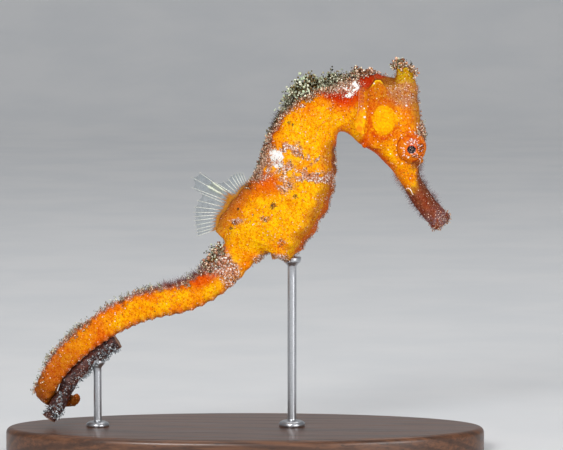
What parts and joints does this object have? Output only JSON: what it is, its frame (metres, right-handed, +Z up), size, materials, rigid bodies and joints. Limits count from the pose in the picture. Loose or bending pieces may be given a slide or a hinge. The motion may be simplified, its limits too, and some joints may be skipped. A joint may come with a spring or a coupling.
{
  "type": "seahorse display model",
  "caption": "Life-size still model of a yellow-orange seahorse gripping a short weed stem with its tail, on an oval base with two thin rods.",
  "frame": {"origin": "middle of the base's underside, the bottom centre of the whole part's box", "axes": "+Z up, +X the way the animal faces and along the base's length, +Y the animal's left side"},
  "size_m": [0.096, 0.042, 0.0782],
  "materials": {
    "skin": "satin, wet-looking skin over bony rings, orange-yellow with fine speckles",
    "coronet": "satin, olive yellow",
    "eye": "gloss, dark pupil in a pink and orange ring",
    "fin_membrane": "clear membrane with pale rays",
    "weed_stem": "dark red-brown, rough with pale crusts",
    "base_wood": "satin dark walnut",
    "rod_steel": "brushed"
  },
  "bodies": {
    "root": {"snout": "skin", "head": "skin", "shoulder_ring": "skin", "trunk_upper": "skin", "trunk_middle": "skin", "trunk_lower": "skin", "tail_root": "skin", "tail_upper": "skin", "tail_middle": "skin", "tail_lower": "skin", "tail_bend": "skin", "tail_hook": "skin", "tail_tip": "skin", "coronet": "coronet", "eye_right": "eye", "eye_left": "eye", "dorsal_fin": "fin_membrane", "pectoral_fin_right": "fin_membrane", "pectoral_fin_left": "fin_membrane", "anal_fin": "fin_membrane", "perch_stem": "weed_stem", "stand_base": "base_wood", "stand_rod_body": "rod_steel", "stand_rod_perch": "rod_steel"}
  },
  "joints": []
}
